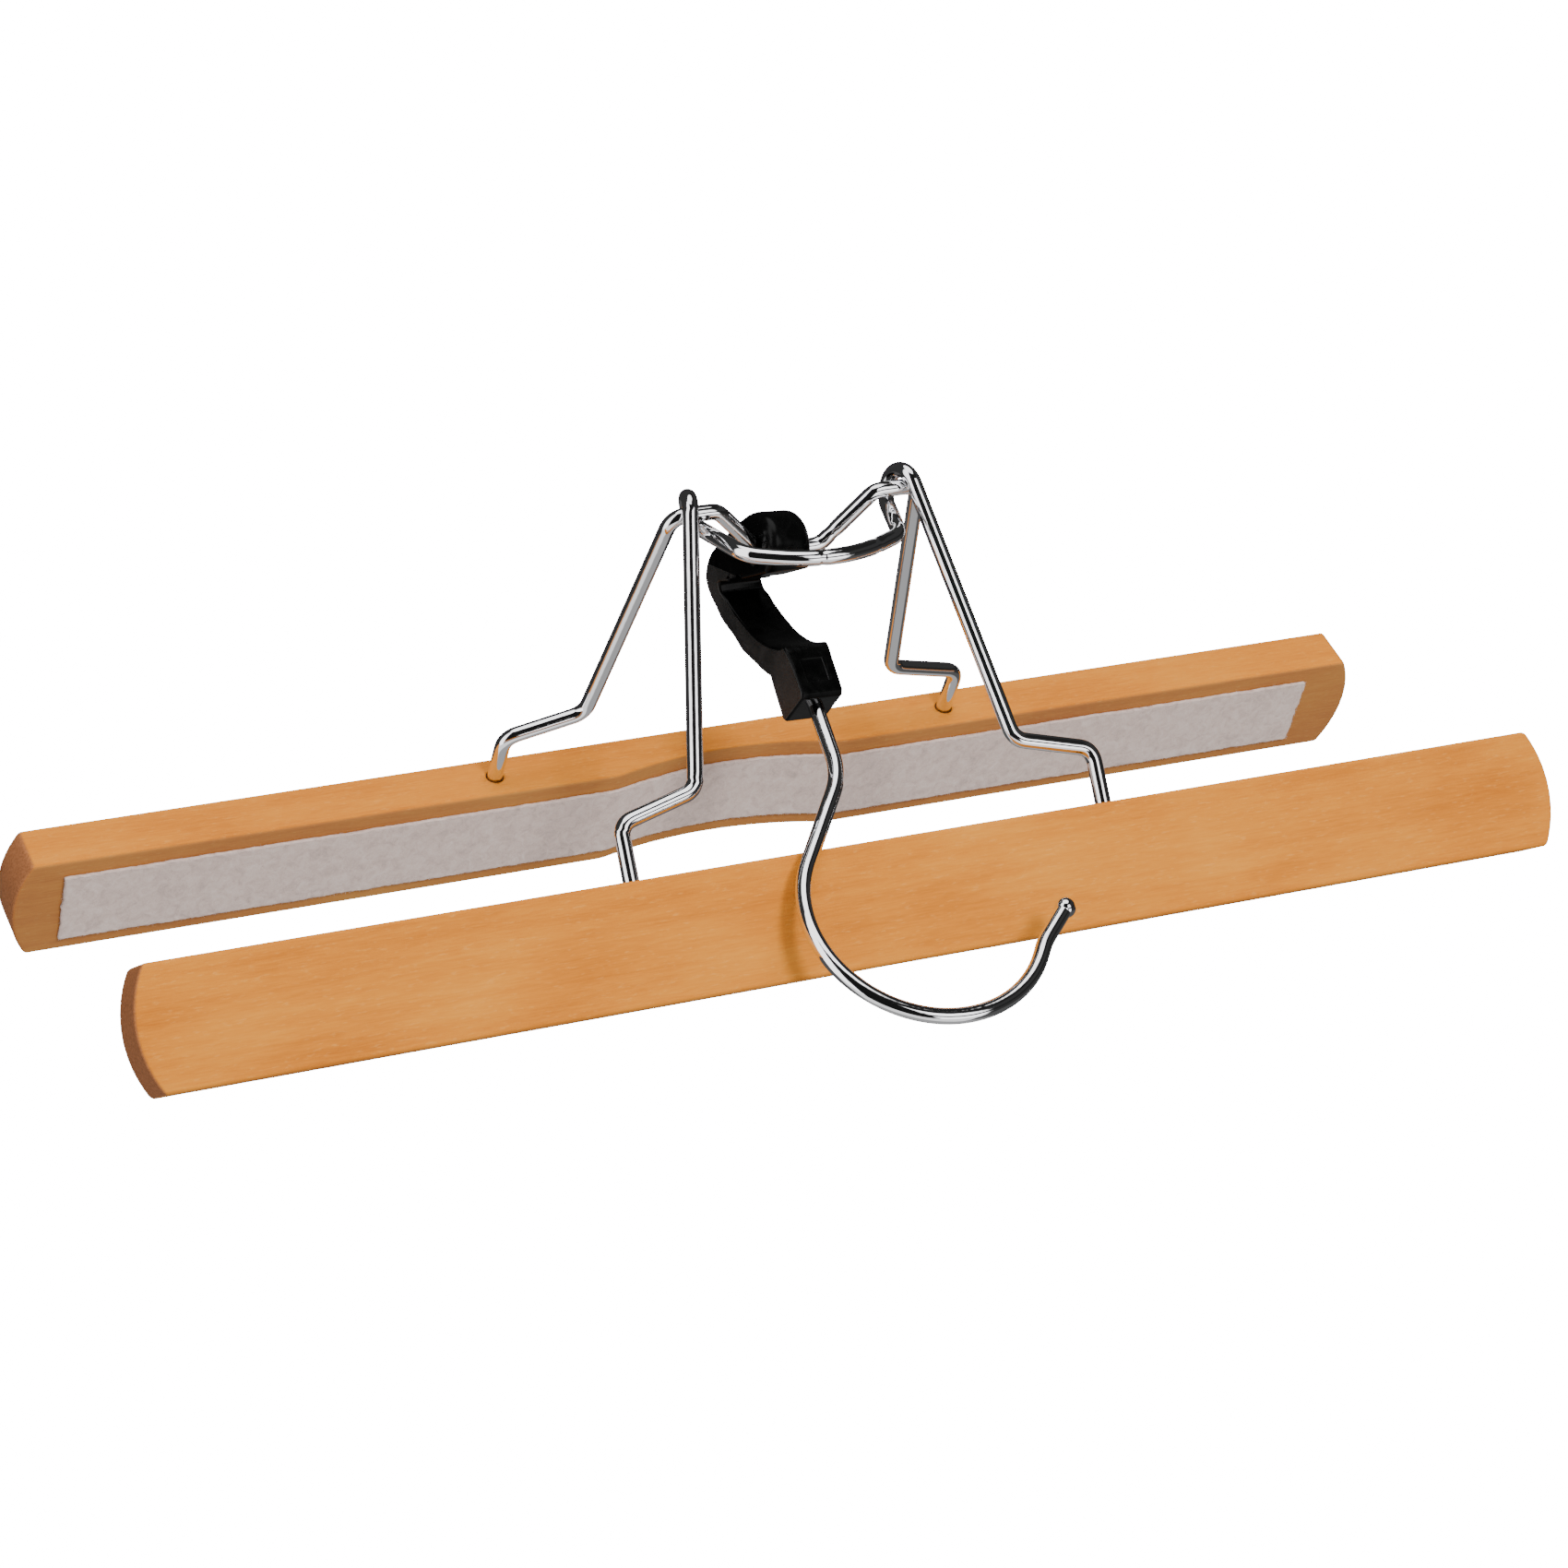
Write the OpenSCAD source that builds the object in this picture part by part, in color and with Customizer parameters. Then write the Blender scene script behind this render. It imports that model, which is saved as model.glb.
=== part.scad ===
/* [Bars] */
// Length of each wooden bar from end to end
bar_length = 380; // [320:5:440]
// Height of a bar's face
bar_height = 30; // [26:1:36]
// Thickness of a bar
bar_thickness = 13; // [12:0.5:18]
// How far the middle of a bar's rounded end stands out past its corners
bar_end_rise = 4.2; // [2:0.1:6]
// Rounding along the long edges of a bar
bar_edge = 1.2; // [0.6:0.1:2]
// Lean of a bar's face from upright when the hanger stands open
bar_lean = 25.5; // [23:0.5:27]

/* [Felt] */
// Thickness of the felt strip
felt_thickness = 1; // [0.8:0.1:2]
// Wood left bare past each end of the felt
felt_end_gap = 8; // [4:1:20]
// Wood left bare above the felt
felt_top_gap = 4.6; // [1:0.1:6]
// Wood left bare below the felt
felt_bottom_gap = 4.2; // [0.8:0.1:6]
// Length of the relief in the middle of the gripping face
relief_length = 64; // [50:2:120]
// Depth of that relief
relief_depth = 4; // [1.5:0.1:5]

/* [Wire frame] */
// Diameter of the chromed spring wire
wire_d = 4; // [3.6:0.1:4.2]
// Half angle between the two arms when open, at the holes in the bars
spread = 29.5; // [28:0.5:31]
// Distance from the hinge axis to the holes in the bars' top faces
reach = 86.1; // [80:0.1:92]
// Distance between the two holes in a bar
hole_spacing = 128; // [120:1:140]
// How deep the wire ends sit in the wood
hole_depth = 12; // [8:1:15]
// Distance between the two lower bends of a frame's legs
jog_spacing = 86.4; // [82:0.2:92]
// Clearance between the two wires where one winds round the other
hinge_gap = 0.35; // [0.3:0.05:0.5]

/* [Clip] */
// Width of the clip
clip_width = 12.9; // [12:0.1:13.5]
// Place of the clip's middle along the back frame's bow
clip_x = -4; // [-5:0.5:-3]
// Radial clearance between the clip's bore and the bow
bore_gap = 0.08; // [0.03:0.01:0.1]

// Side of the square panel sunk into the stem block
panel_side = 6; // [4:0.5:8]
// Depth of that panel
panel_depth = 0.5; // [0.3:0.1:1]

/* [Hook] */
// Angle of the lowered hook below level
hook_drop = 36.5; // [36:0.1:37]
// Radius of the hook's crook, to the middle of the wire
crook_r = 29.8; // [29:0.1:30.5]
// Diameter of the ball that ends the hook
ball_d = 5.3; // [4.6:0.1:6]
// How deep the hook's stem sits in the clip
stem_depth = 11; // [8:1:12]

/* [Hidden] */
$fn = 64;

// A direction that no rod runs along
aside = [0.3, 0.5, 0.7];

// A straight run of wire ends this far inside a bend, which is thicker by this hair
joint_overlap = 0.3;
bend_swell = 0.02;

wire_r = wire_d / 2;
loop_r = wire_d + hinge_gap;

// The middle of a bar's top face, behind the hinge axis and below it
hole_y = reach * sin(spread);
hole_z = -reach * cos(spread);

// The base that the hanger stands on touches the inner lower edges of the bars
inner_n = bar_edge - bar_thickness / 2;
edge_v = bar_height - bar_edge;
floor_z = hole_z + inner_n * sin(bar_lean) - edge_v * cos(bar_lean) - bar_edge;

// The pivot of the clip, seen from the hinge axis, is the straight middle of the back bow
bow_drop = 13.5;
bow_lean = 15;
pivot_y = bow_drop * sin(bow_lean);
pivot_z = -bow_drop * cos(bow_lean);

// The point where the lowered hook leaves the clip's socket, and its crook
stem_y = -19;
stem_z = -47.15;
crook = [4.5, 61.5];
stem_slant = 0.09;

// Furthest points to the front and to the back, for the origin below the middle
front_y = stem_y - (crook[1] + crook_r) * cos(hook_drop) - wire_r - bend_swell;
back_y = hole_y - inner_n * cos(bar_lean) + edge_v * sin(bar_lean) + bar_edge;
middle_y = (front_y + back_y) / 2;

// Vectors, and the turns of a path of [corner, bend radius] pairs
function unit(v) = v / norm(v);
function heading(path, i) = unit(path[i][0] - path[i - 1][0]);
function is_end(path, i) = i == 0 || i == len(path) - 1;
function turn(path, i) = acos(heading(path, i) * heading(path, i + 1));
function setback(path, i) = is_end(path, i) ? 0 : path[i][1] * tan(turn(path, i) / 2);
function overlap(path, i) = is_end(path, i) ? 0 : joint_overlap;
function mirrored(path) =
    [for (i = [len(path) - 1:-1:0]) let (c = path[i][0]) [[-c[0], c[1], c[2]], path[i][1]]];

// Points of an arc round a centre in two dimensions
function arc(centre, r, from, to, steps = 24) =
    [for (i = [0:steps]) let (a = from + (to - from) * i / steps) centre + r * [cos(a), sin(a)]];

// Outline of a rectangle with rounded corners
function soft_rectangle(x0, y0, x1, y1, r) = concat(
    arc([x1 - r, y1 - r], r, 0, 90, 4),
    arc([x0 + r, y1 - r], r, 90, 180, 4),
    arc([x0 + r, y0 + r], r, 180, 270, 4),
    arc([x1 - r, y0 + r], r, 270, 360, 4));

// Puts children with their X, Y and Z along three unit vectors at a point
module place(x, y, z, at) {
    multmatrix([[x[0], y[0], z[0], at[0]],
                [x[1], y[1], z[1], at[1]],
                [x[2], y[2], z[2], at[2]],
                [0, 0, 0, 1]])
        children();
}

// A straight rod between two points
module rod(p, q, r) {
    z = unit(q - p);
    y = unit(cross(z, aside));
    place(cross(y, z), y, z, p) cylinder(r = r, h = norm(q - p));
}

// A wire bent along a path of [corner, bend radius] pairs
// A bend is swollen by a hair, and the straight runs end inside the bends
module bent_wire(path, r) {
    for (i = [1:len(path) - 1]) {
        u = heading(path, i);
        start = path[i - 1][0] + u * (setback(path, i - 1) - overlap(path, i - 1));
        stop = path[i][0] - u * (setback(path, i) - overlap(path, i));
        rod(start, stop, r);
    }
    for (i = [1:len(path) - 2]) {
        u = heading(path, i);
        axis = unit(cross(u, heading(path, i + 1)));
        out = cross(u, axis);
        centre = path[i][0] - u * setback(path, i) - out * path[i][1];
        place(out, u, axis, centre)
            arc_rod(path[i][1], turn(path, i), r + bend_swell);
    }
}

// A bent rod round the Z axis, from the X axis on
module arc_rod(bend_r, angle, r) {
    rotate_extrude(angle = angle)
        translate([bend_r, 0])
            circle(r = r);
}

// Everything is drawn from the hinge axis and then stood on the base
module standing() {
    translate([0, -middle_y, -floor_z])
        children();
}

// Children drawn for the back arm's bar: Y outwards, Z up the face, origin on the top face
module on_back_bar() {
    translate([0, hole_y, hole_z])
        rotate([bar_lean, 0, 0])
            children();
}

module mirror_to_front() {
    mirror([0, 1, 0])
        children();
}

// Wooden bars
end_r = (pow(bar_height / 2, 2) + pow(bar_end_rise, 2)) / (2 * bar_end_rise);
relief_r = (pow(relief_length / 2, 2) + pow(relief_depth, 2)) / (2 * relief_depth);
relief_centre = -bar_thickness / 2 + relief_depth - relief_r;

// Half of a disc with a softened rim, which shapes one end of a bar
module end_disc() {
    rotate([90, 0, 0])
        rotate_extrude()
            intersection() {
                polygon(soft_rectangle(-end_r, -bar_thickness / 2,
                                       end_r, bar_thickness / 2, bar_edge));
                translate([0, -bar_thickness])
                    square([2 * end_r, 2 * bar_thickness]);
            }
}

// A long stick with softened edges, up to the rounded ends
module bar_blank() {
    straight = bar_length - 2 * end_r;
    difference() {
        intersection() {
            rotate([90, 0, 90])
                translate([0, 0, -bar_length / 2])
                    linear_extrude(bar_length)
                        polygon(soft_rectangle(-bar_thickness / 2, -bar_height,
                                               bar_thickness / 2, 0, bar_edge));
            union() {
                translate([-straight / 2, -bar_thickness, -2 * bar_height])
                    cube([straight, 2 * bar_thickness, 3 * bar_height]);
                for (side = [-1, 1])
                    translate([side * straight / 2, 0, -bar_height / 2])
                        end_disc();
            }
        }
        translate([0, relief_centre, -2 * bar_height])
            cylinder(r = relief_r, h = 3 * bar_height, $fn = 360);
    }
}

module felt_strip() {
    face = -bar_thickness / 2;
    half = bar_length / 2 - bar_end_rise - felt_end_gap;
    translate([0, 0, felt_bottom_gap - bar_height])
        linear_extrude(bar_height - felt_top_gap - felt_bottom_gap)
            difference() {
                union() {
                    translate([-half, face - felt_thickness])
                        square([2 * half, felt_thickness]);
                    intersection() {
                        translate([-relief_length, face - felt_thickness])
                            square([2 * relief_length, relief_depth + 2 * felt_thickness]);
                        translate([0, relief_centre])
                            circle(r = relief_r, $fn = 360);
                    }
                }
                translate([0, relief_centre])
                    circle(r = relief_r - felt_thickness, $fn = 360);
            }
}

// Wire frames, with their legs in a plane that leans from upright
front_lean = spread - asin(loop_r / reach);
front_reach = sqrt(reach * reach - loop_r * loop_r);
function front_point(x, down) =
    [x, -loop_r * cos(front_lean) - down * sin(front_lean),
     loop_r * sin(front_lean) - down * cos(front_lean)];
function back_point(x, down) = [x, down * sin(spread), -down * cos(spread)];
function bow_point(x, down) = [x, down * sin(bow_lean), -down * cos(bow_lean)];

// Each leg steps inwards above the bar, between these two heights over the holes
jog_x = jog_spacing / 2;
hole_x = hole_spacing / 2;
jog_low = reach - 14.1;
jog_high = reach - 19.4;
low_bend = 4;
high_bend = 4.5;

// The front wire goes over the back one, down behind it and out below it
// It moves inwards on the way, and its bow then reaches forwards and dips
bow_dip = 10.7;
coil_x = [29.6, 28, 26.4];
coil_bend = 4.5;
front_bow_side = [20.8, 16.05];
front_bow_reach = 26.2;
front_bow_bends = [8, 32];
loop_from = 90 - front_lean + 90;
loop_to = bow_dip - 90;
loop_step = (loop_from - loop_to) / 3;
loop_corner = loop_r / cos(loop_step / 2);
function loop_point(x, k) =
    let (a = loop_from - (k + 0.5) * loop_step)
    [x, loop_corner * cos(a), loop_corner * sin(a)];
function front_bow_point(x, out) =
    [x, loop_r * sin(bow_dip) - out * cos(bow_dip), -loop_r * cos(bow_dip) - out * sin(bow_dip)];

front_half = concat(
    [[front_point(hole_x, front_reach + hole_depth), 0],
     [front_point(hole_x, jog_low), low_bend],
     [front_point(jog_x, jog_high), high_bend]],
    [for (k = [0:2]) [loop_point(coil_x[k], k), coil_bend]],
    [[front_bow_point(front_bow_side[0], front_bow_side[1]), front_bow_bends[0]]]);
front_path = concat(front_half, [[front_bow_point(0, front_bow_reach), front_bow_bends[1]]],
                    mirrored(front_half));

// The back wire runs straight through the coils, and its bow hangs down between them
run_x = [33.4, 21.4];
run_bends = [4.4, 4];
back_bow_x = 7.9;
back_bow_bend = 4;
back_half = concat(
    [[back_point(hole_x, reach + hole_depth), 0],
     [back_point(hole_x, jog_low), low_bend],
     [back_point(jog_x, jog_high), high_bend]],
    [for (k = [0, 1]) [[run_x[k], 0, 0], run_bends[k]]],
    [[bow_point(back_bow_x, bow_drop), back_bow_bend]]);
back_path = concat(back_half, mirrored(back_half));

// The two holes for a frame's ends, each a little wider at its mouth
mouth_gap = 0.5;
mouth_depth = 0.8;
module wire_holes(path) {
    for (side = [-1, 1]) {
        tip = [side * path[0][0][0], path[0][0][1], path[0][0][2]];
        top = [side * path[1][0][0], path[1][0][1], path[1][0][2]];
        rod(tip, top, wire_r);
        mouth = tip + unit(top - tip) * (hole_depth - mouth_depth);
        rod(mouth, top, wire_r + mouth_gap);
    }
}

module front_bar() {
    color("burlywood")
        standing()
            difference() {
                mirror_to_front()
                    on_back_bar()
                        bar_blank();
                wire_holes(front_path);
            }
}

module back_bar() {
    color("burlywood")
        standing()
            difference() {
                on_back_bar()
                    bar_blank();
                wire_holes(back_path);
            }
}

module front_felt() {
    color("silver")
        standing()
            mirror_to_front()
                on_back_bar()
                    felt_strip();
}

module back_felt() {
    color("silver")
        standing()
            on_back_bar()
                felt_strip();
}

module front_wire() {
    color("gainsboro")
        standing()
            bent_wire(front_path, wire_r);
}

module back_wire() {
    color("gainsboro")
        standing()
            bent_wire(back_path, wire_r);
}

// Clip, drawn in the plane of its profile with the pivot as origin
// From the nose over the round head and down the back of the spine
nose = [-5.9, -2.6];
head_centre = [0.8, 0.6];
head_r = 9;
head_arc = [190, 47];
back_centre = [9.5, -12.4];
back_r = 12.5;
back_arc = [47, -52];
// Under the spine and round the block that holds the hook's stem
belly = [[6.8, -27.2], [-3.3, -28.6], [-9.8, -29]];
block = [[-16.9, -38], [-18.4, -38.2], [-25.2, -30.6], [-25.2, -29], [-17.6, -20.2], [-16.2, -19.4]];
// Up the hollow of the spine and back under the head
grip_centre = [-5.1, 12.8];
grip_r = 34.5;
grip_arc = [-107, -52];
throat = [[16.6, -11.8], [9, -9.7]];
// The notch that takes the front frame's bow, open towards the throat
latch = [9.7, -10.6];
latch_r = wire_r + 0.5;
latch_way = [-1.7, 0.5];

module clip_profile() {
    difference() {
        polygon(concat(
            [nose],
            arc(head_centre, head_r, head_arc[0], head_arc[1]),
            arc(back_centre, back_r, back_arc[0], back_arc[1]),
            belly,
            block,
            arc(grip_centre, grip_r, grip_arc[0], grip_arc[1]),
            throat));
        translate(latch)
            circle(r = latch_r);
        translate(latch + latch_way)
            circle(r = latch_r);
    }
}

module clip() {
    color("dimgray")
        standing()
            difference() {
                translate([clip_x - clip_width / 2, pivot_y, pivot_z])
                    rotate([90, 0, 90])
                        linear_extrude(clip_width)
                            clip_profile();
                bow_bore();
                block_panel();
                rod(stem_foot, stem_point(-stem_slant, 1), wire_r);
            }
}

// Shallow square recess in the block's front face
module block_panel() {
    low = block[3];
    high = block[4];
    middle = (low + high) / 2;
    tilt = atan2(high[1] - low[1], high[0] - low[0]);
    translate([clip_x, pivot_y + middle[0], pivot_z + middle[1]])
        rotate([tilt, 0, 0])
            cube([panel_side, panel_side, 2 * panel_depth], center = true);
}

// Bore round the bow, flared at both ends where the bow bends away
flare_r = 5.6;
flare_depth = 4.15;
module bow_bore() {
    r = wire_r + bore_gap;
    translate([clip_x, pivot_y, pivot_z])
        rotate([0, 90, 0]) {
            translate([0, 0, -clip_width])
                cylinder(r = r, h = 2 * clip_width);
            for (side = [0, 1])
                mirror([0, 0, side])
                    translate([0, 0, clip_width / 2 - flare_depth])
                        cylinder(r1 = r, r2 = flare_r, h = flare_depth);
        }
}

// Hook, drawn in its own plane: across along X and down along its stem
function stem_point(across, down) =
    [clip_x + across, stem_y - down * cos(hook_drop), stem_z - down * sin(hook_drop)];
function on_crook(a, past) =
    stem_point(crook[0] + crook_r * cos(a) + past * sin(a), crook[1] + crook_r * sin(a) - past * cos(a));
crook_from = 217;
crook_to = 36;
stem_foot = stem_point(stem_slant * stem_depth, -stem_depth);

// The stem bends once on its way to the crook, which ends in a small outward flick
stem_bend = 20;
stem_lead = 29.4;
flick_bend = 12;
flick_lead = 4;
ball = stem_point(40.2, 67.5);
stem_path = [
    [stem_foot, 0],
    [on_crook(crook_from, -stem_lead), stem_bend],
    [on_crook(crook_from, 2 * joint_overlap), 0]];
tip_path = [
    [on_crook(crook_to, -2 * joint_overlap), 0],
    [on_crook(crook_to, flick_lead), flick_bend],
    [ball, 0]];

module crook_bend() {
    across = [1, 0, 0];
    down = [0, -cos(hook_drop), -sin(hook_drop)];
    place(across, down, cross(across, down), stem_point(crook[0], crook[1]))
        rotate([0, 0, crook_to])
            arc_rod(crook_r, crook_from - crook_to, wire_r + bend_swell);
}

module hook() {
    color("gainsboro")
        standing()
            union() {
                bent_wire(stem_path, wire_r);
                crook_bend();
                bent_wire(tip_path, wire_r);
                translate(ball)
                    sphere(d = ball_d);
            }
}

front_bar();
back_bar();
front_felt();
back_felt();
front_wire();
back_wire();
clip();
hook();
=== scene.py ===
# Trouser hanger: two felt lined wooden bars on chromed wire frames, with a moulded clip and its hook.
# Shapes are worked out in millimetres from the axis the two frames turn on, x along the bars,
# y to the back and z up. standOnFloor puts them into the shared frame, in metres.
import bmesh
import bpy
import numpy as np
from mathutils import Matrix


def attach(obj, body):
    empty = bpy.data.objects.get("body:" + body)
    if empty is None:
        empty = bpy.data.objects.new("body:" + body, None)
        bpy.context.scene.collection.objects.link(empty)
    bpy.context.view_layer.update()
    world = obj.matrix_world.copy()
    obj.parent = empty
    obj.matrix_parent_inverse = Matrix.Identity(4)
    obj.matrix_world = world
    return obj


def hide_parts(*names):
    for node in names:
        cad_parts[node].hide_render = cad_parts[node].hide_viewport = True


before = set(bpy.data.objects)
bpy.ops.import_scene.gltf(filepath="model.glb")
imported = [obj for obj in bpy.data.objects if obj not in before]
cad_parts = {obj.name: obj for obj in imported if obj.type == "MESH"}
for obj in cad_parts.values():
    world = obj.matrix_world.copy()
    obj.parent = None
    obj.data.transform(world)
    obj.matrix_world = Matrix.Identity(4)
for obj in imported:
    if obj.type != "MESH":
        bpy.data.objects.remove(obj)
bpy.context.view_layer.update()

axisPlace = np.array([0.0, 16.816, 104.414])  # the turning axis above the floor, in the shared frame
sides = {"front": -1, "back": 1}  # which way each arm lies from the axis


def standOnFloor(points):
    # adds the axis's place and turns millimetres to metres
    return (np.asarray(points, float) + axisPlace) * 0.001


def unit(v):
    # divides vectors by their length
    return v / np.linalg.norm(v, axis=-1, keepdims=True)


def mirrored(points):
    # the same points with x turned round, in the opposite order
    return points[::-1] * np.array([-1.0, 1.0, 1.0])


def ringQuads(count, around):
    # quads between neighbouring rings, from point a and the next one b of a ring to the ring after it
    a = np.arange(count - 1)[:, None] * around + np.arange(around)
    b = np.arange(count - 1)[:, None] * around + np.roll(np.arange(around), -1)
    return np.stack([a, b, b + around, a + around], -1).reshape(-1, 4).tolist()


def skin(name, rings, body, node, material, attributes=None):
    # closed surface over rings (stations, around, xyz): quads between rings, a fan at each end
    count, around, _ = rings.shape
    points = np.concatenate([rings.reshape(-1, 3), rings[:1].mean(1), rings[-1:].mean(1)])
    edge = np.arange(around)
    first = np.stack([np.roll(edge, -1), edge, np.full(around, count * around)], -1)
    last = np.stack([edge, np.roll(edge, -1), np.full(around, count * around + 1)], -1)
    last[:, :2] += (count - 1) * around
    mesh = bpy.data.meshes.new(name)
    faces = ringQuads(count, around) + first.tolist() + last.tolist()
    mesh.from_pydata(standOnFloor(points), [], faces)
    for label, values in (attributes or {}).items():
        flat = np.concatenate([values.reshape(-1), values[:1].mean(1), values[-1:].mean(1)])
        mesh.attributes.new(label, "FLOAT", "POINT").data.foreach_set("value", flat.astype(np.float32))
    return finishPiece(name, mesh, body, node, material)


def finishPiece(name, mesh, body, node, material):
    # smooth faces pointing outwards, the material, the body it moves with and the solid it stands for
    mesh.polygons.foreach_set("use_smooth", np.ones(len(mesh.polygons), bool))
    mesh.update()
    volume = meshVolume(mesh)
    if volume < 0:
        mesh.flip_normals()
    piece = bpy.data.objects.new(name, mesh)
    bpy.context.scene.collection.objects.link(piece)
    piece.data.materials.append(material)
    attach(piece, body)
    if node:
        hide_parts(node)
    print(name, len(mesh.polygons), "faces, volume", round(abs(volume) * 1e9), "mm3")
    return piece


def tripleValues(items, key, kind=float):
    # a three-part property of all items, one row for each
    values = np.zeros(len(items) * 3, kind)
    items.foreach_get(key, values)
    return values.reshape(-1, 3)


def meshVolume(mesh):
    # a sixth of the triple product of each triangle's corners, summed
    mesh.calc_loop_triangles()
    t = tripleValues(mesh.vertices, "co")[tripleValues(mesh.loop_triangles, "vertices", int)]
    return float((t[:, 0] * np.cross(t[:, 1], t[:, 2])).sum() / 6)


# Materials
def toLinear(hexColor):
    # sRGB hex to linear red, green, blue and 1
    c = np.array([int(hexColor[i:i + 2], 16) for i in (1, 3, 5)]) / 255
    return (*np.where(c <= 0.04045, c / 12.92, ((c + 0.055) / 1.055) ** 2.4).tolist(), 1.0)


def addNode(tree, kind, settings=None, **links):
    # one node with its settings; a link may be a socket, or a plain value for the input
    node = tree.nodes.new(kind)
    for key, value in (settings or {}).items():
        setattr(node, key, value)
    for key, value in links.items():
        name = key.replace("_", " ")
        socket = node.inputs[int(key[1:])] if key[0] == "i" and key[1:].isdigit() else node.inputs[name]
        if isinstance(value, bpy.types.NodeSocket):
            tree.links.new(value, socket)
        else:
            socket.default_value = value
    return node


def addRamp(tree, factor, stops):
    # a colour ramp with the stops (place, hex colour)
    node = addNode(tree, "ShaderNodeValToRGB", Fac=factor)
    ramp = node.color_ramp
    while len(ramp.elements) < len(stops):
        ramp.elements.new(0.5)
    for element, (place, color) in zip(ramp.elements, stops):
        element.position = place
        element.color = toLinear(color)
    return node.outputs["Color"]


def newMaterial(name):
    material = bpy.data.materials.new(name)
    material.use_nodes = True
    tree = material.node_tree
    return material, tree, tree.nodes["Principled BSDF"]


wood = {
    # length along the bar and width across it of one mark of each pattern, in mm
    "fibreSize": (5.0, 0.35), "streakSize": (60.0, 3.0), "cloudSize": (40.0, 16.0), "fleckSize": (2.4, 0.5),
    "poreScale": 1.6,  # pores of the end grain per mm
    "pale": "#E0922F", "mid": "#D48022", "deep": "#BE6A19",
    "fleck": "#E8A650", "end": "#B07045", "endDark": "#985D34",
    "shadedGrip": "#DCE4E4", "shadedGripLift": "#122A34",  # painted shade: multiplied with and added to the colour on the gripping face, darkening and greying it where it lies in shade between the bars
    "roughness": 0.5, "specular": 0.2, "bump": 0.06,
    "driftShare": 0.62, "fineShare": 0.3,  # of the clouds and of the fine fibres in the tone
}


def inMillimetres(tree, turn=(0, 0, 0), shift=(0, 0, 0)):
    # the object's own coordinates in millimetres, turned and moved
    coords = addNode(tree, "ShaderNodeTexCoord")
    return addNode(tree, "ShaderNodeMapping", Vector=coords.outputs["Object"],
                   Rotation=turn, Location=shift, Scale=(1000, 1000, 1000)).outputs["Vector"]


def grainNoise(tree, place, size, **settings):
    # noise drawn out along the bar to marks of the given length and width
    length, width = size
    drawn = addNode(tree, "ShaderNodeMapping", Vector=place, Scale=(1 / length, 1 / width, 1 / width))
    return addNode(tree, "ShaderNodeTexNoise", Vector=drawn.outputs["Vector"], Scale=1.0,
                   **settings).outputs["Fac"]


def lacqueredBeech(name, lean, shift):
    # Beech under a thin satin lacquer: honey colour, fine straight fibres along the bar, soft clouds,
    # short pale flecks, painted shade that darkens and greys the gripping face between the bars, and
    # pinkish end grain
    material, tree, shader = newMaterial(name)
    place = inMillimetres(tree, (-lean, 0, 0), shift)  # turned upright against the bar's lean
    fine = grainNoise(tree, place, wood["fibreSize"], Detail=3.0, Roughness=0.6)
    bands = grainNoise(tree, place, wood["streakSize"], Detail=4.0, Roughness=0.55, Distortion=0.6)
    drift = grainNoise(tree, place, wood["cloudSize"], Detail=3.0)
    fleck = grainNoise(tree, place, wood["fleckSize"], Detail=2.0)
    both = addNode(tree, "ShaderNodeMix", {"data_type": "FLOAT"}, i0=wood["driftShare"], i2=bands, i3=drift)
    tone = addNode(tree, "ShaderNodeMix", {"data_type": "FLOAT"}, i0=wood["fineShare"],
                   i2=both.outputs[0], i3=fine)
    body = addRamp(tree, tone.outputs[0],
                   [(0.32, wood["deep"]), (0.5, wood["mid"]), (0.68, wood["pale"])])
    spark = addNode(tree, "ShaderNodeMapRange", Value=fleck,
                    From_Min=0.6, From_Max=0.74, To_Min=0.0, To_Max=0.35)
    flecked = addNode(tree, "ShaderNodeMix", {"data_type": "RGBA"}, i0=spark.outputs[0],
                      i6=body, i7=toLinear(wood["fleck"]))
    # end grain: pores and rings seen end on
    pores = addNode(tree, "ShaderNodeTexNoise", Vector=place, Scale=wood["poreScale"],
                    Detail=3.0, Roughness=0.7)
    endColor = addRamp(tree, pores.outputs["Fac"], [(0.35, wood["endDark"]), (0.6, wood["end"])])
    # painted shade: the gripping face lies in shade between the bars, so its colour is darkened and greyed
    isShadedGrip = addNode(tree, "ShaderNodeAttribute", {"attribute_name": "shadedGripFace"})
    shadeDarkened = addNode(tree, "ShaderNodeMix", {"data_type": "RGBA", "blend_type": "MULTIPLY"},
                     i0=isShadedGrip.outputs["Fac"], i6=flecked.outputs[2], i7=toLinear(wood["shadedGrip"]))
    shadeGreyed = addNode(tree, "ShaderNodeMix", {"data_type": "RGBA", "blend_type": "ADD"},
                     i0=isShadedGrip.outputs["Fac"], i6=shadeDarkened.outputs[2], i7=toLinear(wood["shadedGripLift"]))
    isEnd = addNode(tree, "ShaderNodeAttribute", {"attribute_name": "endGrain"})
    color = addNode(tree, "ShaderNodeMix", {"data_type": "RGBA"}, i0=isEnd.outputs["Fac"],
                    i6=shadeGreyed.outputs[2], i7=endColor)
    rough = addNode(tree, "ShaderNodeMapRange", Value=tone.outputs[0],
                    From_Min=0.3, From_Max=0.7, To_Min=wood["roughness"] + 0.06,
                    To_Max=wood["roughness"] - 0.06)
    bump = addNode(tree, "ShaderNodeBump", Strength=wood["bump"], Distance=0.0002, Height=fine)
    tree.links.new(color.outputs[2], shader.inputs["Base Color"])
    tree.links.new(rough.outputs[0], shader.inputs["Roughness"])
    tree.links.new(bump.outputs["Normal"], shader.inputs["Normal"])
    shader.inputs["Specular IOR Level"].default_value = wood["specular"]
    return material


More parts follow.
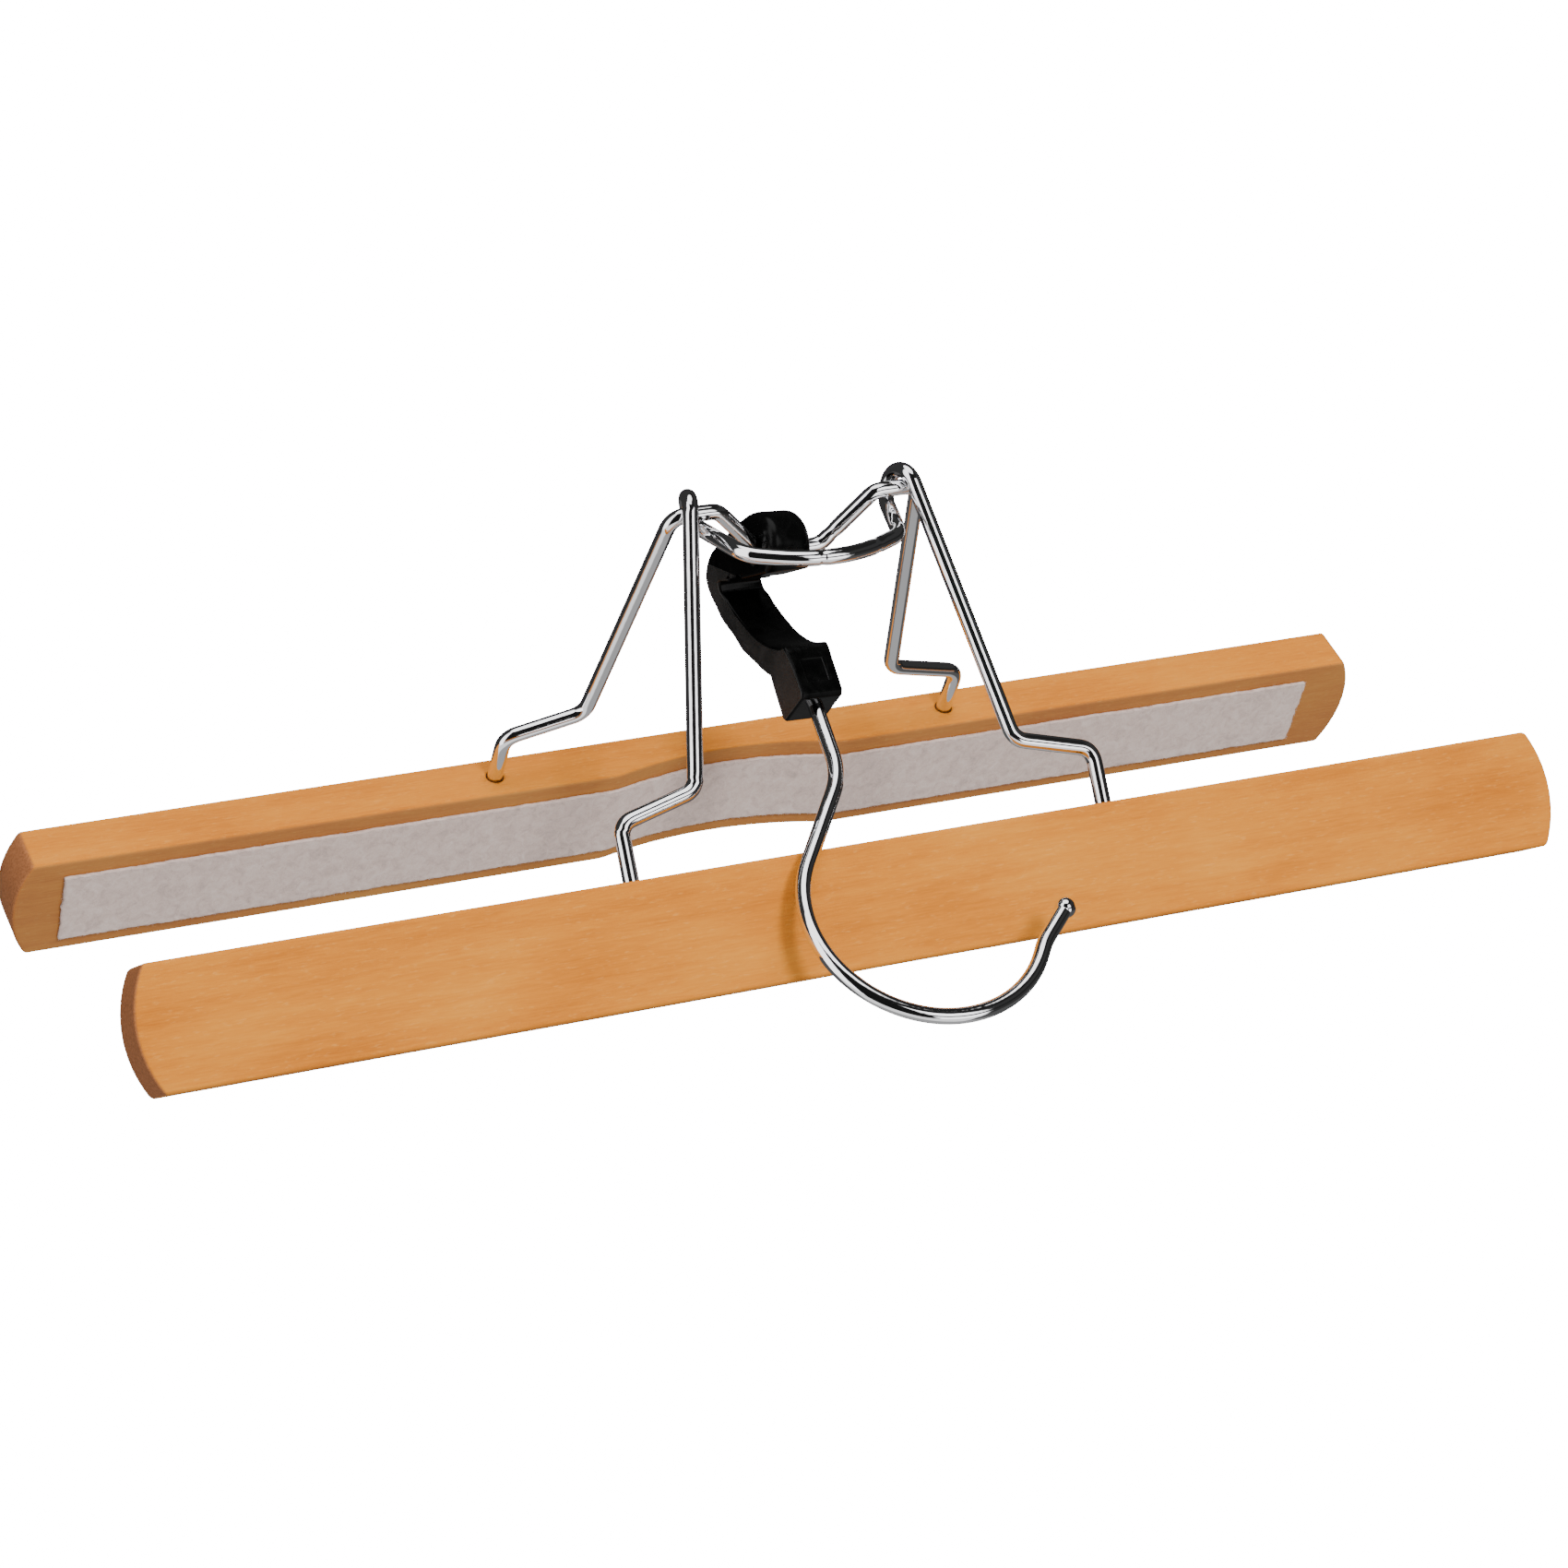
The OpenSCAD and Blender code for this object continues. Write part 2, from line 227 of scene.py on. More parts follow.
felt = {
    "base": "#DCC7BE", "dark": "#C2AFA7", "pale": "#E9D8CF",
    "clump": 3.2,     # mm across a clump of fibres
    "fibre": 0.35,    # mm, drawn coarser than wool so that it shows
    "roughness": 0.95, "bump": 0.5, "sheen": 0.25,
}


def pressedWoolFelt(name):
    # Pressed grey wool felt: matt, mottled by clumps of fibres, with dark and pale specks
    material, tree, shader = newMaterial(name)
    place = inMillimetres(tree)
    clump = addNode(tree, "ShaderNodeTexNoise", Vector=place,
                    Scale=1 / felt["clump"], Detail=5.0, Roughness=0.68, Distortion=0.8)
    fibre = addNode(tree, "ShaderNodeTexNoise", Vector=place,
                    Scale=1 / felt["fibre"], Detail=2.0, Roughness=0.6, Distortion=1.5)
    tone = addNode(tree, "ShaderNodeMix", {"data_type": "FLOAT"}, i0=0.35,
                   i2=clump.outputs["Fac"], i3=fibre.outputs["Fac"])
    color = addRamp(tree, tone.outputs[0],
                    [(0.34, felt["dark"]), (0.5, felt["base"]), (0.66, felt["pale"])])
    bump = addNode(tree, "ShaderNodeBump", Strength=felt["bump"], Distance=0.0003, Height=tone.outputs[0])
    tree.links.new(color, shader.inputs["Base Color"])
    tree.links.new(bump.outputs["Normal"], shader.inputs["Normal"])
    shader.inputs["Roughness"].default_value = felt["roughness"]
    shader.inputs["Sheen Weight"].default_value = felt["sheen"]
    shader.inputs["Sheen Roughness"].default_value = 0.5
    return material


chrome = {
    "tint": "#EDEDEF", "roughness": 0.03,
    "smear": 0.04, "smearScale": 0.35,    # added roughness, and its clouds per mm
    "ripple": 0.05, "rippleScale": 0.45,  # bump, and its waves per mm
}


def brightChrome(name):
    # Bright chrome plate on drawn steel wire: mirror sharp, with a faint ripple left by the drawing die
    material, tree, shader = newMaterial(name)
    place = inMillimetres(tree)
    smear = addNode(tree, "ShaderNodeTexNoise", Vector=place,
                    Scale=chrome["smearScale"], Detail=3.0, Roughness=0.6)
    rough = addNode(tree, "ShaderNodeMapRange", Value=smear.outputs["Fac"], From_Min=0.4, From_Max=0.75,
                    To_Min=chrome["roughness"], To_Max=chrome["roughness"] + chrome["smear"])
    ripple = addNode(tree, "ShaderNodeTexNoise", Vector=place, Scale=chrome["rippleScale"], Detail=1.0)
    bump = addNode(tree, "ShaderNodeBump", Strength=chrome["ripple"], Distance=0.0006,
                   Height=ripple.outputs["Fac"])
    tree.links.new(rough.outputs[0], shader.inputs["Roughness"])
    tree.links.new(bump.outputs["Normal"], shader.inputs["Normal"])
    shader.inputs["Base Color"].default_value = toLinear(chrome["tint"])
    shader.inputs["Metallic"].default_value = 1.0
    return material


plastic = {
    "flowScale": 0.25, "gritScale": 2.2,  # clouds and grains per mm
    # front, back and inside, then the two flat sides, which are matt and lighter, the lighter black being
    # painted sheen
    "polished": {"base": "#040404", "worn": "#0A0A0A", "roughness": 0.16, "specular": 0.1},
    # matt sides: rougher, and a lighter black that paints in the grey sheen of reflected light
    "matt": {"base": "#1A1A1A", "worn": "#262626", "roughness": 0.36, "specular": 0.5},
}


def mouldedAcetal(name, finish):
    # Black acetal from the mould: deep black, glossy or matt by face, with faint flow clouds in the gloss;
    # the matt finish's lighter black is painted sheen
    material, tree, shader = newMaterial(name)
    place = inMillimetres(tree)
    flow = addNode(tree, "ShaderNodeTexNoise", Vector=place,
                   Scale=plastic["flowScale"], Detail=4.0, Roughness=0.55, Distortion=1.0)
    grit = addNode(tree, "ShaderNodeTexNoise", Vector=place, Scale=plastic["gritScale"], Detail=2.0)
    color = addRamp(tree, flow.outputs["Fac"], [(0.35, finish["base"]), (0.7, finish["worn"])])
    rough = addNode(tree, "ShaderNodeMapRange", Value=flow.outputs["Fac"], From_Min=0.3, From_Max=0.7,
                    To_Min=finish["roughness"], To_Max=finish["roughness"] + 0.12)
    shader.inputs["Specular IOR Level"].default_value = finish["specular"]
    bump = addNode(tree, "ShaderNodeBump", Strength=0.03, Distance=0.0002, Height=grit.outputs["Fac"])
    tree.links.new(color, shader.inputs["Base Color"])
    tree.links.new(rough.outputs[0], shader.inputs["Roughness"])
    tree.links.new(bump.outputs["Normal"], shader.inputs["Normal"])
    return material


# Camera, light and floor
view = {"azimuth": -25.8704, "elevation": 19.2758, "distance": 1057.843,
        "across": -3.0548, "upwards": -69.257, "lens": 99.33}


def placeCamera():
    # back, right and up vectors from the two angles, then back off along the first
    a, e = np.radians([view["azimuth"], view["elevation"]])
    back = np.array([np.sin(a) * np.cos(e), -np.cos(a) * np.cos(e), np.sin(e)])
    right = np.array([np.cos(a), np.sin(a), 0.0])
    up = np.cross(back, right)
    spot = standOnFloor(view["distance"] * back + view["across"] * right + view["upwards"] * up)
    camera = bpy.data.objects.new("camera", bpy.data.cameras.new("camera"))
    camera.data.lens = view["lens"]
    camera.data.sensor_width = 36.0
    camera.data.clip_start = 0.05
    camera.data.clip_end = 60.0
    turn = Matrix(np.stack([right, up, back], 1).tolist()).to_4x4()
    turn.translation = spot.tolist()
    camera.matrix_world = turn
    bpy.context.scene.collection.objects.link(camera)
    bpy.context.scene.camera = camera


def addSoftbox(name, spot, aim, width, height, power):
    # a large area light at spot, in metres, facing aim
    light = bpy.data.lights.new(name, "AREA")
    light.shape = "RECTANGLE"
    light.size = width
    light.size_y = height
    light.energy = power
    box = bpy.data.objects.new(name, light)
    z = unit(np.array(spot, float) - np.array(aim, float))
    x = unit(np.cross([0.0, 0.0, 1.0], z) + [1e-6, 0, 0])
    turn = Matrix(np.stack([x, np.cross(z, x), z], 1).tolist()).to_4x4()
    turn.translation = list(spot)
    box.matrix_world = turn
    box.visible_camera = False
    box.visible_glossy = False
    bpy.context.scene.collection.objects.link(box)


studio = {
    "fill": 0.66,  # plain tone that lights matt surfaces
    # tones seen in reflections
    "gapTone": 0.012, "wallTone": 2.9, "farTone": 0.04, "ceilingTone": 2.9, "shelfTone": 0.02,
    "tableTone": 1.3, "tableFarTone": 0.1, "underTone": 0.45,
    # angles round the object from the camera's direction, in degrees, to the right
    "gap": (-33, 28), "walls": (-73, 61),
    # heights, from -1 straight down to 1 straight up; the shelves hang on the right wall only
    "shelvesFrom": (20, 26), "shelves": ((0.05, 0.3), (0.7, 0.9)),
    "ceiling": 0.91, "table": -0.36, "under": -0.82,
}


def smoothStep(tree, value, low, high):
    # from 0 below low to 1 above high
    node = addNode(tree, "ShaderNodeMapRange", {"interpolation_type": "SMOOTHSTEP"},
                   Value=value, From_Min=low, From_Max=high)
    return node.outputs[0]


def mixTones(tree, factor, first, second):
    # first at 0, second at 1
    return addNode(tree, "ShaderNodeMix", {"data_type": "FLOAT"}, i0=factor, i2=first, i3=second).outputs[0]


def band(tree, value, low, high, soft):
    # 1 between low and high, 0 outside, with soft edges
    rise = smoothStep(tree, value, low - soft, low + soft)
    fall = smoothStep(tree, value, high + soft, high - soft)
    return addNode(tree, "ShaderNodeMath", {"operation": "MULTIPLY"}, i0=rise, i1=fall).outputs[0]


def lightStudio():
    # surround of a small studio: a dark gap on the camera's side, a white wall left and right of it,
    # dark shelves on the right one, a dark far side, a white ceiling and a table
    world = bpy.data.worlds.new("studio")
    world.use_nodes = True
    bpy.context.scene.world = world
    tree = world.node_tree
    coords = addNode(tree, "ShaderNodeTexCoord")
    turned = addNode(tree, "ShaderNodeMapping", Vector=coords.outputs["Generated"],
                     Rotation=(0, 0, -np.radians(view["azimuth"])))
    split = addNode(tree, "ShaderNodeSeparateXYZ", Vector=turned.outputs["Vector"])
    near = addNode(tree, "ShaderNodeMath", {"operation": "MULTIPLY"}, i0=split.outputs["Y"], i1=-1.0)
    angle = addNode(tree, "ShaderNodeMath", {"operation": "ARCTAN2"},
                    i0=split.outputs["X"], i1=near.outputs[0])
    aside = addNode(tree, "ShaderNodeMath", {"operation": "DEGREES"}, i0=angle.outputs[0]).outputs[0]
    height = split.outputs["Z"]
    walls = band(tree, aside, *studio["walls"], 4)
    gap = band(tree, aside, *studio["gap"], 3)
    tone = mixTones(tree, walls, studio["farTone"], studio["wallTone"])
    onRight = smoothStep(tree, aside, *studio["shelvesFrom"])
    for low, high in studio["shelves"]:
        shelf = addNode(tree, "ShaderNodeMath", {"operation": "MULTIPLY"}, i0=onRight,
                        i1=band(tree, height, low, high, 0.02))
        tone = mixTones(tree, shelf.outputs[0], tone, studio["shelfTone"])
    tone = mixTones(tree, gap, tone, studio["gapTone"])
    ceiling, table, under = studio["ceiling"], studio["table"], studio["under"]
    above = smoothStep(tree, height, ceiling - 0.02, ceiling + 0.02)
    tone = mixTones(tree, above, tone, studio["ceilingTone"])
    tabletop = mixTones(tree, walls, studio["tableFarTone"], studio["tableTone"])
    below = smoothStep(tree, height, under + 0.05, under - 0.05)
    tabletop = mixTones(tree, below, tabletop, studio["underTone"])
    tone = mixTones(tree, smoothStep(tree, height, table + 0.03, table - 0.03), tone, tabletop)
    rays = addNode(tree, "ShaderNodeLightPath")
    tone = mixTones(tree, rays.outputs["Is Glossy Ray"], studio["fill"], tone)
    tree.links.new(tone, tree.nodes["Background"].inputs["Strength"])
    tree.nodes["Background"].inputs["Color"].default_value = (1, 1, 1, 1)
    addSoftbox("softbox_top", (0.1, -0.4, 1.5), (0, 0, 0.05), 1.2, 0.9, 15)
    addSoftbox("softbox_front", (0.05, -1.45, 1.0), (0, 0, 0.06), 0.3, 0.4, 20)


def layFloor():
    # a flat round sheet: rings of shrinking radius in metres, and one polygon in the smallest
    r = np.array([30.0, 12.0, 4.0, 1.0])[:, None]
    t = np.radians(np.arange(0, 360, 7.5))
    points = np.stack([r * np.cos(t), r * np.sin(t), np.zeros((4, 48))], -1).reshape(-1, 3)
    mesh = bpy.data.meshes.new("floor")
    mesh.from_pydata(points, [], ringQuads(4, 48) + [list(range(3 * 48, 4 * 48))])
    floor = bpy.data.objects.new("floor", mesh)
    material, _, shader = newMaterial("paperSweep")
    # lit from below like a light table, so that it stays white and shadows are faint
    shader.inputs["Base Color"].default_value = toLinear("#F4F4F3")
    shader.inputs["Roughness"].default_value = 0.9
    shader.inputs["Specular IOR Level"].default_value = 0.1
    shader.inputs["Emission Color"].default_value = toLinear("#FFFFFF")
    shader.inputs["Emission Strength"].default_value = 16.0
    material.cycles.emission_sampling = "NONE"
    # the surround stands in for the table in reflections and as bounced light
    floor.visible_glossy = False
    floor.visible_diffuse = False
    floor.data.materials.append(material)
    bpy.context.scene.collection.objects.link(floor)


placeCamera()
lightStudio()
layFloor()
print("camera, lights and floor ready")

# Wooden bars
bar = {
    "length": 380.0, "height": 30.0, "thickness": 13.0, "edge": 0.9, "endRise": 4.2,
    "lean": 25.5, "scoopLength": 64.0, "scoopDepth": 4.0,
    "spread": 29.5, "reach": 86.1,  # degrees from upright and mm from the axis to a bar's top
    "holeSpacing": 128.0,
    "holeAt": (-4.0, -0.6, 0.5, 1.2, 5.0),  # depths below the top face, mm
    "holeRadii": (2.7, 2.5, 2.25, 2.1, 2.1),
}
endRadius = ((bar["height"] / 2) ** 2 + bar["endRise"] ** 2) / (2 * bar["endRise"])
scoopRadius = ((bar["scoopLength"] / 2) ** 2 + bar["scoopDepth"] ** 2) / (2 * bar["scoopDepth"])


def scoop(x):
    # depth of the relief in the gripping face: a shallow arc, nought beyond it
    inside = np.sqrt(np.maximum(scoopRadius ** 2 - x ** 2, 0))
    return np.maximum(bar["scoopDepth"] - scoopRadius + inside, 0)


def onArm(points, side):
    # from a bar's own frame (y outwards, z up its face, origin on its top) to the leaning arm
    a = np.radians(bar["lean"])
    s = np.radians(bar["spread"])
    x, y, z = np.moveaxis(points, -1, 0)
    backY = y * np.cos(a) - z * np.sin(a) + bar["reach"] * np.sin(s)
    up = y * np.sin(a) + z * np.cos(a) - bar["reach"] * np.cos(s)
    return np.stack([x, side * backY, up], -1)


def sectionLoop(halfY, halfZ, perSide, perCorner):
    # round a rectangle: the point on its core and the outward direction there
    corners = np.array([[1, 1], [-1, 1], [-1, -1], [1, -1]]) * [halfY, halfZ]
    core, way = [], []
    for i in range(4):
        a = np.radians(90 * i + np.linspace(0, 90, perCorner))
        way.append(np.stack([np.cos(a), np.sin(a)], -1))
        core.append(np.repeat(corners[i][None], perCorner, 0))
        t = (1 - np.cos(np.linspace(0, np.pi, perSide + 2)[1:-1])) / 2
        core.append(corners[i] + t[:, None] * (corners[(i + 1) % 4] - corners[i]))
        way.append(np.repeat(way[-1][-1:], perSide, 0))
    return np.concatenate(core), np.concatenate(way)


def applyModifiers(piece):
    # bakes the modifiers into the mesh
    graph = bpy.context.evaluated_depsgraph_get()
    mesh = bpy.data.meshes.new_from_object(piece.evaluated_get(graph))
    piece.modifiers.clear()
    piece.data = mesh


def cutAway(piece, cutters):
    # takes the cutters out of the piece and removes them
    for cutter in cutters:
        change = piece.modifiers.new("cut", "BOOLEAN")
        change.operation = "DIFFERENCE"
        change.solver = "EXACT"
        change.object = cutter
    applyModifiers(piece)
    for cutter in cutters:
        bpy.data.objects.remove(cutter)


def closedMesh(name, rings):
    # a helper object that a boolean uses up: rings with a flat cap at each end
    n, m, _ = rings.shape
    caps = [list(range(m))[::-1], list(range((n - 1) * m, n * m))]
    mesh = bpy.data.meshes.new(name)
    mesh.from_pydata(standOnFloor(rings.reshape(-1, 3)), [], ringQuads(n, m) + caps)
    if meshVolume(mesh) < 0:
        mesh.flip_normals()
    piece = bpy.data.objects.new(name, mesh)
    bpy.context.scene.collection.objects.link(piece)
    return piece


def turnedCutter(name, origin, axis, along, radii, around=48):
    # surface of revolution: radius radii at distance along from origin, down the axis
    axis = unit(np.array(axis, float))
    u = unit(np.cross(axis, [0.3, 0.5, 0.7]))
    v = np.cross(axis, u)
    t = np.radians(np.linspace(0, 360, around, endpoint=False))
    ring = np.cos(t)[:, None] * u + np.sin(t)[:, None] * v
    rings = np.array(origin) + np.multiply.outer(along, axis)[:, None] + np.multiply.outer(radii, ring)
    return closedMesh(name, rings)


def drillHoles(piece, side):
    # two holes in the top face, where the frame's legs go in
    s = np.radians(bar["spread"])
    down = np.array([0, side * np.sin(s), -np.cos(s)])
    cutters = []
    for x in (-bar["holeSpacing"] / 2, bar["holeSpacing"] / 2):
        top = np.array([x, 0, 0]) + bar["reach"] * down
        cutters.append(turnedCutter("drill", top, down, bar["holeAt"], bar["holeRadii"]))
    cutAway(piece, cutters)


def endStations(along, edge, turn, shrink):
    # from end to end of a bar or strip: the place from -1 to 1, and for the edge's quarter circle and
    # the closed cap beyond it how far each ring is drawn in, how far it stands out and how it shrinks
    inset = np.concatenate([edge * (1 - np.cos(turn)), np.full(len(shrink), edge)])
    out = np.concatenate([edge * np.sin(turn), np.full(len(shrink), edge)])
    k = np.concatenate([np.ones(len(turn)), shrink])
    flat = np.zeros(len(along))
    s = np.concatenate([-np.ones(len(k)), along, np.ones(len(k))])
    both = [np.concatenate([v[::-1], flat + plain, v]) for v, plain in ((inset, 0), (out, 0), (k, 1))]
    return [v[:, None] for v in (s, *both)]


def woodenBar(arm, material):
    # a stick of rounded rectangular section; its ends are arcs of endRadius with a softened rim,
    # and the gripping face is pushed in by the scoop
    side = sides[arm]
    e = bar["edge"]
    mid = -bar["height"] / 2
    core, way = sectionLoop(bar["thickness"] / 2 - e, bar["height"] / 2 - e, 12, 7)
    turn = np.radians(np.linspace(15, 90, 6))
    s, d, o, k = endStations(np.linspace(-1, 1, 191), e, turn, np.linspace(0.92, 0.04, 12))
    y = (core[:, 0] + (e - d) * way[:, 0]) * k
    z = (core[:, 1] + (e - d) * way[:, 1]) * k
    end = bar["length"] / 2 - endRadius + np.sqrt(endRadius ** 2 - z ** 2) - e
    x = s * end + np.sign(s) * o
    # the gripping face, which gets the painted shade of the gap between the bars
    shadedGrip = np.clip((-y / (bar["thickness"] / 2) - 0.94) / 0.05, 0, 1)
    y = y + scoop(x) * np.clip(-y / (bar["thickness"] / 2), 0, 1)
    points = np.stack([x, y, z + mid], -1)
    endness = np.clip((o / e - 0.35) / 0.4, 0, 1) * np.ones_like(x)
    marks = {"endGrain": endness, "shadedGripFace": shadedGrip * (1 - endness)}
    piece = skin(f"{arm}_bar_wood", onArm(points, side), f"{arm}_arm", f"{arm}_bar", material, marks)
    drillHoles(piece, side)
    return piece


lean = np.radians(bar["lean"])
beechFront = lacqueredBeech("lacqueredBeechFront", -lean, (0.3, 0.1, 0.0))
beechBack = lacqueredBeech("lacqueredBeechBack", lean, (-0.2, 0.4, 0.2))
woodenBar("front", beechFront)
woodenBar("back", beechBack)

# Felt strips
strip = {"thickness": 1.0, "endGap": 8.0, "short": 3.5, "topGap": 4.6, "bottomGap": 4.2, "edge": 0.4,
         "waver": 0.16, "nap": 0.06, "fibres": 5000, "fibreLength": 0.8, "fibreWidth": 0.07}


def waves(t, seed, shortest, longest, count=14):
    # sum of sines of random phase with wavelengths from longest to shortest, about one high
    rng = np.random.default_rng(seed)
    lengths = np.geomspace(shortest, longest, count)
    phase = rng.uniform(0, 2 * np.pi, count)
    return np.sin(2 * np.pi * np.multiply.outer(t, 1 / lengths) + phase).sum(-1) / np.sqrt(count / 2)


def feltStrip(arm, material, seed):
    # a slab of rounded rectangular section that follows the scoop and stops short at one end;
    # its cut edges waver and its face has a low nap
    side = sides[arm]
    rng = np.random.default_rng(seed)
    high = bar["height"] - strip["topGap"] - strip["bottomGap"]
    mid = -(strip["topGap"] + bar["height"] - strip["bottomGap"]) / 2
    half = bar["length"] / 2 - bar["endRise"] - strip["endGap"]
    e = strip["edge"]
    core, way = sectionLoop(strip["thickness"] / 2 - e, high / 2 - e, 26, 5)
    turn = np.radians(np.linspace(20, 90, 4))
    s, d, o, k = endStations(np.linspace(-1, 1, 561), e, turn, np.linspace(0.9, 0.06, 8))
    y = (core[:, 0] + (e - d) * way[:, 0]) * k
    z = (core[:, 1] + (e - d) * way[:, 1]) * k
    x = s * (half - e) + np.sign(s) * o
    edgeWay = z / (high / 2)
    z = z + strip["waver"] * 0.5 * edgeWay * (waves(x, seed, 2.5, 60) - 1)
    x = x + strip["waver"] * np.clip(np.abs(s) * 8 - 7, 0, 1) * waves(z, seed + 1, 2.5, 20)
    x = x - strip["short"] * (x + half) / (2 * half)
    outside = y < -strip["thickness"] / 2 + e
    y = y + outside * strip["nap"] * rng.normal(size=y.shape)
    y = y - bar["thickness"] / 2 - strip["thickness"] / 2 + scoop(x)
    rings = onArm(np.stack([x, y, z + mid], -1), side)
    piece = skin(f"{arm}_felt_strip", rings, f"{arm}_arm", f"{arm}_felt", material)
    length = 2 * (half + scoopArc()) - strip["short"]
    return piece, (length * 0.001, high * 0.001)


def scoopArc():
    # how much longer the scoop's arc is than its chord, for half the strip
    x = np.linspace(0, bar["scoopLength"] / 2, 200)
    return np.hypot(np.diff(x), np.diff(scoop(x))).sum() - bar["scoopLength"] / 2


def feltFibres(arm, material, seed):
    # loose fibres at the strip's cut edges: slim closed spikes with a random lean
    side = sides[arm]
    rng = np.random.default_rng(seed)
    n = strip["fibres"]
    top, bottom = -strip["topGap"], strip["bottomGap"] - bar["height"]
    half = bar["length"] / 2 - bar["endRise"] - strip["endGap"]
    onEnd = rng.random(n) < 0.08
    low = rng.random(n) < 0.5
    stop = half - strip["short"]
    x = np.where(onEnd, np.where(low, -half, stop), rng.uniform(-half, stop, n))
    z = np.where(onEnd, rng.uniform(bottom, top, n), np.where(low, bottom + 0.1, top - 0.1))
    depth = rng.uniform(0.0, 1.0, n) ** 0.6
    y = -bar["thickness"] / 2 + scoop(x) - depth * strip["thickness"]
    upOrDown = np.where(low, -1, 1)
    outward = np.stack([np.where(onEnd, np.sign(x), 0), np.zeros(n), np.where(onEnd, 0, upOrDown)], -1)
    way = unit(outward * 0.55 + np.array([0, -0.45, 0]) * depth[:, None] + rng.normal(0, 0.75, (n, 3)))
    foot = np.stack([x, y, z], -1) - 0.15 * way
    length = strip["fibreLength"] * rng.uniform(0.35, 1.0, n)[:, None]
    tip = foot + way * length
    tip[:, 1] = np.minimum(tip[:, 1], -bar["thickness"] / 2 + scoop(tip[:, 0]) - 0.03)
    u = unit(np.cross(way, [0.3, 0.5, 0.7])) * strip["fibreWidth"] / 2
    v = np.cross(way, u)
    corners = [foot + u, foot - 0.5 * u + 0.87 * v, foot - 0.5 * u - 0.87 * v, tip]
    points = onArm(np.stack(corners, 1), side).reshape(-1, 3)
    face = np.array([[0, 2, 1], [0, 1, 3], [1, 2, 3], [2, 0, 3]])
    faces = (np.arange(n)[:, None, None] * 4 + face).reshape(-1, 3)
    mesh = bpy.data.meshes.new(f"{arm}_felt_fibres")
    mesh.from_pydata(standOnFloor(points), [], faces.tolist())
    return finishPiece(f"{arm}_felt_fibres", mesh, f"{arm}_arm", None, material)


greyFelt = pressedWoolFelt("pressedWoolFelt")
for arm, seed in (("front", 11), ("back", 23)):
    stripPiece, flat = feltStrip(arm, greyFelt, seed)
    fibres = feltFibres(arm, greyFelt, seed + 1)
print("felt strips flat size", flat)

# Wire frames and hook
wire = {
    "radius": 2.0, "loopGap": 0.35, "around": 28, "step": 0.6, "ease": 1.2,
    "inHole": 12.0, "jogX": 43.2, "jogLow": 14.1, "jogHigh": 19.4, "lowBend": 4.0, "highBend": 4.5,
    "coilX": (29.6, 28.0, 26.4), "coilBend": 4.5, "bowDip": 10.7,
    "frontBowSide": (20.8, 16.05), "frontBowReach": 26.2, "frontBowBends": (8.0, 32.0),
    "runX": (33.4, 21.4), "runBends": (4.4, 4.0),
    "frontNicks": (-3.5, 12.5), "backNicks": (11.0,), "nickDepth": 0.22, "nickWidth": 0.7,
    "backBowX": 7.9, "backBowDrop": 13.5, "backBowLean": 15.0, "backBowBend": 4.0,
}


def evenly(rough, step):
    # the same path with one point every step
    s = np.concatenate([[0], np.cumsum(np.linalg.norm(np.diff(rough, axis=0), axis=1))])
    t = np.linspace(0, s[-1], int(s[-1] / step) + 1)
    return np.stack([np.interp(t, s, rough[:, k]) for k in range(3)], -1)


def roundedPath(corners, bends, step):
    # straight runs joined by arcs of the bend radii, one point every step
    corners = np.array(corners, float)
    parts = [corners[:1]]
    for i in range(1, len(corners) - 1):
        u = unit(corners[i] - corners[i - 1])
        w = unit(corners[i + 1] - corners[i])
        turn = np.arccos(np.clip(u @ w, -1, 1))
        out = unit(w - u)
        centre = corners[i] + out * bends[i] / np.cos(turn / 2)
        a = np.linspace(-turn / 2, turn / 2, max(6, int(bends[i] * turn / step)))
        ahead = unit(u + w)
        parts.append(centre + bends[i] * (np.sin(a)[:, None] * ahead - np.cos(a)[:, None] * out))
    parts.append(corners[-1:])
    return evenly(np.concatenate(parts), step)


def eased(path, step, length):
    # a running mean over length rounds off the start of each bend
    n = max(1, int(length / step / 2))
    padded = np.concatenate([np.repeat(path[:1], n, 0), path, np.repeat(path[-1:], n, 0)])
    kernel = np.ones(2 * n + 1) / (2 * n + 1)
    smooth = np.stack([np.convolve(padded[:, k], kernel, "valid") for k in range(3)], -1)
    smooth[0], smooth[-1] = path[0], path[-1]
    return smooth


def sweptWire(name, path, radii, body, node, material):
    # circles of the given radii at right angles to the path
    ahead = unit(np.gradient(path, axis=0))
    u = unit(np.cross(ahead, [0.3, 0.5, 0.7]))
    v = np.cross(ahead, u)
    t = np.radians(np.linspace(0, 360, wire["around"], endpoint=False))
    ring = np.cos(t)[:, None] * u[:, None] + np.sin(t)[:, None] * v[:, None]
    rings = path[:, None] + radii[:, None, None] * ring
    return skin(name, rings, body, node, material)


def legPoint(x, down, side, lean, offset):
    # a point on a frame's leg: down the leaning plane, set off from the axis to the front
    a = np.radians(lean)
    return [x, side * down * np.sin(a) - offset * np.cos(a), -down * np.cos(a) + offset * np.sin(a)]


